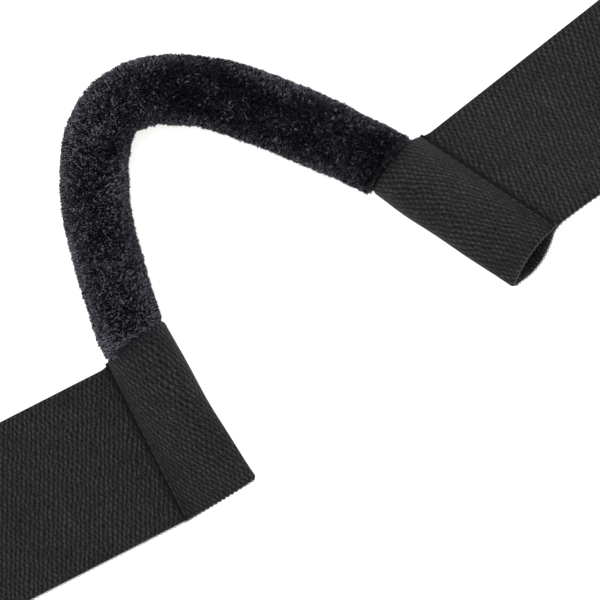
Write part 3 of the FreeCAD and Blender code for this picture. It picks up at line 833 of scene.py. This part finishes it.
def pile_piece(name, number, seed, material):
    """Dense short fibres: thin wedges rooted in the skin, wider at the tip, leaning with the nap.

    A fibre's way is the skin's outward way, plus a smooth wandering nap, plus its tuft's own lean,
    plus a little of its own.
    """
    tuft_pitch, tufts, skin_radius = 0.62, 65521, 9.4
    pick = np.random.default_rng(seed)
    s = pick.uniform(24.0, total - 21.5, number)
    angle = pick.uniform(0, 2 * math.pi, number)
    root, way = sleeve_surface(s, angle)
    run_way = unit(np.stack([np.interp(s, distance, forward[:, k]) for k in range(3)], -1))
    side_way = unit(np.cross(way, run_way))
    nap = 0.55 * waves(s / 7.0, angle * 1.3, 8, 0.5, 1.8, 21)
    nap_side = 0.55 * waves(s / 6.0, angle * 1.5, 8, 0.5, 1.8, 22)
    # Fibres stand in small tufts: those of one tuft share a lean, a length and a brightness.
    tuft_row = np.floor(s / tuft_pitch + 0.35 * np.sin(angle * 23.0)).astype(int)
    tuft_column = np.floor(angle * skin_radius / tuft_pitch + 0.35 * np.sin(s * 3.1)).astype(int)
    tuft = (tuft_row * 131 + tuft_column) % tufts
    deck = np.random.default_rng(99)
    tuft_lean = deck.normal(0, 0.4, (tufts, 2))[tuft]
    tuft_size = deck.uniform(0.55, 1.0, tufts)[tuft]
    tuft_tone = deck.beta(1.1, 3.1, tufts)[tuft]
    # About one tuft in twenty gets a painted glint: a bright tone standing in for light catching its
    # fibres.
    painted_glint = (deck.random(tufts) > 0.95)[tuft] * deck.uniform(0.5, 1.3, tufts)[tuft]
    lean = unit(way + run_way * (nap + tuft_lean[:, 0] + pick.normal(0, 0.2, number))[:, None]
                + side_way * (nap_side + tuft_lean[:, 1] + pick.normal(0, 0.2, number))[:, None])
    length = pick.uniform(1.0, 1.6, number) * tuft_size
    width = pick.uniform(0.06, 0.12, number)
    flat = unit(np.cross(lean, pick.normal(size=(number, 3))))
    base = root - way * 0.15
    tip = base + lean * length[:, None]
    corners = np.stack([base, tip - flat * width[:, None], tip + flat * width[:, None]], 1)
    mesh = bpy.data.meshes.new(name)
    mesh.vertices.add(number * 3)
    mesh.vertices.foreach_set("co", (corners * MM).astype(np.float32).ravel())
    mesh.loops.add(number * 3)
    mesh.loops.foreach_set("vertex_index", np.arange(number * 3, dtype=np.int32))
    mesh.polygons.add(number)
    mesh.polygons.foreach_set("loop_start", np.arange(0, number * 3, 3, dtype=np.int32))
    mesh.polygons.foreach_set("loop_total", np.full(number, 3, dtype=np.int32))
    tone = mesh.attributes.new("tone", "FLOAT", "POINT")
    clump = 0.5 + 0.5 * np.clip(1.3 * waves(s / 1.6, angle * 6.0, 10, 0.6, 1.8, 41), -1, 1)
    # The fibres are lighter on the left limb and grow darker past the bend.
    limb_lightness = np.interp(s - bend_at, [-70.0, -40.0, -14.0, 16.0], [22.0, 10.0, 5.0, 1.6])
    bright = (0.62 + 0.38 * clump) * tuft_tone * pick.uniform(0.0, 1.25, number) * limb_lightness + painted_glint * 2.2
    # Each fibre's root is a tenth as light as its tip: painted shade deep in the pile.
    tone_with_painted_root_shade = np.stack([bright * 0.1, bright, bright], 1).ravel()
    tone.data.foreach_set("value", tone_with_painted_root_shade.astype(np.float32))
    mesh.materials.append(material)
    mesh.polygons.foreach_set("use_smooth", np.ones(number, bool))
    mesh.update(calc_edges=True)
    facing = unit(way + 0.35 * lean)
    mesh.normals_split_custom_set(np.repeat(facing, 3, axis=0).tolist())
    piece = bpy.data.objects.new(name, mesh)
    bpy.context.collection.objects.link(piece)
    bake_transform(piece)


# The pile is in two pieces, so that each stays a sensible size.
pile = plush_material("plush_pile", True)
pile_piece("plush_pile_a", 95000, 11, pile)
pile_piece("plush_pile_b", 95000, 12, pile)


# ---- Foam, rope and hidden threads -----------------------------------------------------------------
# A braided rope carries the pull from tunnel to tunnel, through a foam tube that thickens the grip.
# Wound thread closes the rope's cut ends, gathers the plush onto it and sews it into each tunnel.
def foam_material():
    """Open-cell foam: pale grey with small dark pores."""
    kit = Nodes("foam")
    place = kit.add("ShaderNodeTexCoord").outputs["Object"]
    pores = kit.add("ShaderNodeTexVoronoi", Vector=place, Scale=1400.0).outputs["Distance"]
    kit.put(kit.surface, "Base Color", kit.blend(pores, (0.2, 0.2, 0.19, 1.0), (0.5, 0.5, 0.48, 1.0)))
    kit.surface.inputs["Roughness"].default_value = 1.0
    kit.bump(pores, 0.0003)
    return kit.material


def foam_surface(s, angle):
    """Foam tube just inside the plush, pressed in where the plush creases."""
    return sleeve_surface(s, angle, 0.75)


def rope_surface(s, angle):
    """Eight millimetre braid: two sets of strands wind opposite ways and cross in diamonds.

    The radius is 4 mm, less a groove wherever neither set of strands stands at its crest, and the
    rope is pressed flatter and wider where it lies in a tunnel.
    """
    rope_radius = 4.0
    into = np.maximum(smooth((29.0 - s) / 8.0), smooth((s - (total - 26.0)) / 8.0))
    right_hand = np.abs(np.sin(angle * 4.0 + s * 0.55))
    left_hand = np.abs(np.sin(angle * 4.0 - s * 0.55))
    braid = 0.28 * np.maximum(right_hand, left_hand) - 0.28
    return round_route(s, angle, rope_radius + 0.5 * into + braid, rope_radius - 0.6 * into + braid)


rope_material = twisted_material("rope", (0.3, 0.28, 0.24), (0.7, 0.67, 0.6), 260.0, 0.8)
core = (
    ("foam_core_tube", "foam_core", foam_surface, (32.0, total - 29.0, 240), foam_material(), "foam"),
    ("core_rope_braid", "core_rope", rope_surface, (0.8, total - 0.8, 420), rope_material, "rope"),
)
for name, node, surface, (first_s, last_s, rows), material, slot in core:
    piece = skin_tube(name, np.linspace(first_s, last_s, rows), surface, material)
    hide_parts(node)
    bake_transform(piece)


def wound_thread(name, node, first_s, last_s, wide, high, turns, body):
    """Thread wound side by side round the rope or the gathered neck, with both ends tucked in.

    Its middle is a helix on an oval tube, lifted by its own thickness and swept by a hexagon.
    """
    count = turns * 28
    way_round = np.linspace(0, turns * 2 * math.pi, count)
    s = np.linspace(first_s, last_s, count)
    thick = abs(last_s - first_s) / turns * 0.5
    tuck = np.minimum(np.minimum(np.arange(count), np.arange(count)[::-1]) / 12.0, 1.0)
    line, out = round_route(s, way_round, np.full(count, wide), np.full(count, high))
    line = line + out * (thick * tuck * 0.9)[:, None]
    run_way = unit(np.gradient(line, axis=0))
    side_way = np.cross(run_way, out)
    ring = np.linspace(0, 2 * math.pi, 7)[:-1]
    points = line[:, None] + thick * (out[:, None] * np.cos(ring)[None, :, None]
                                      + side_way[:, None] * np.sin(ring)[None, :, None])
    index = np.arange(count * 6).reshape(count, 6)
    nxt = np.roll(index, -1, axis=1)
    faces = np.stack([index[:-1], nxt[:-1], nxt[1:], index[1:]], -1).reshape(-1, 4).tolist()
    faces += [index[0][::-1].tolist(), index[-1].tolist()]
    mesh = bpy.data.meshes.new(name)
    mesh.from_pydata((points.reshape(-1, 3) * MM).tolist(), [], faces)
    mesh.polygons.foreach_set("use_smooth", np.ones(len(faces), bool))
    mesh.materials.append(thread_material)
    mesh.update()
    piece = bpy.data.objects.new(name, mesh)
    bpy.context.collection.objects.link(piece)
    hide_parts(node)
    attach(piece, body)


neck = (neck_half_width, neck_half_height)
rope_end = (4.5, 3.4)
windings = (
    ("left_binding_wound", "left_sleeve_binding", 15.0, 18.0, *neck, 6, "handle"),
    ("right_binding_wound", "right_sleeve_binding", total - 13.7, total - 10.7, *neck, 6, "right_end"),
    ("left_tack_wound", "left_rope_tack", 4.6, 7.6, *rope_end, 5, "handle"),
    ("right_tack_wound", "right_rope_tack", total - 7.6, total - 4.6, *rope_end, 5, "right_end"),
    ("left_whipping_wound", "left_rope_whipping", 1.0, 4.0, *rope_end, 7, "handle"),
    ("right_whipping_wound", "right_rope_whipping", total - 4.0, total - 1.0, *rope_end, 7, "right_end"),
)
for winding in windings:
    wound_thread(*winding)

stitch_length, stitch_pitch, sunk = 2.6, 3.0, 0.1
stitch_s = np.arange(34.0, total - 32.0, stitch_pitch)
lower = np.full(len(stitch_s), -math.pi / 2)
seam_a, seam_down = sleeve_surface(stitch_s, lower, sunk)
seam_b, _ = sleeve_surface(stitch_s + stitch_length, lower, sunk)
seam_piece = stitch_rows("sleeve_seam_stitches", list(seam_a), list(seam_b), list(seam_down), None,
                         ["sleeve_seam_thread"], 0.22, stitch_length)
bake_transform(seam_piece)
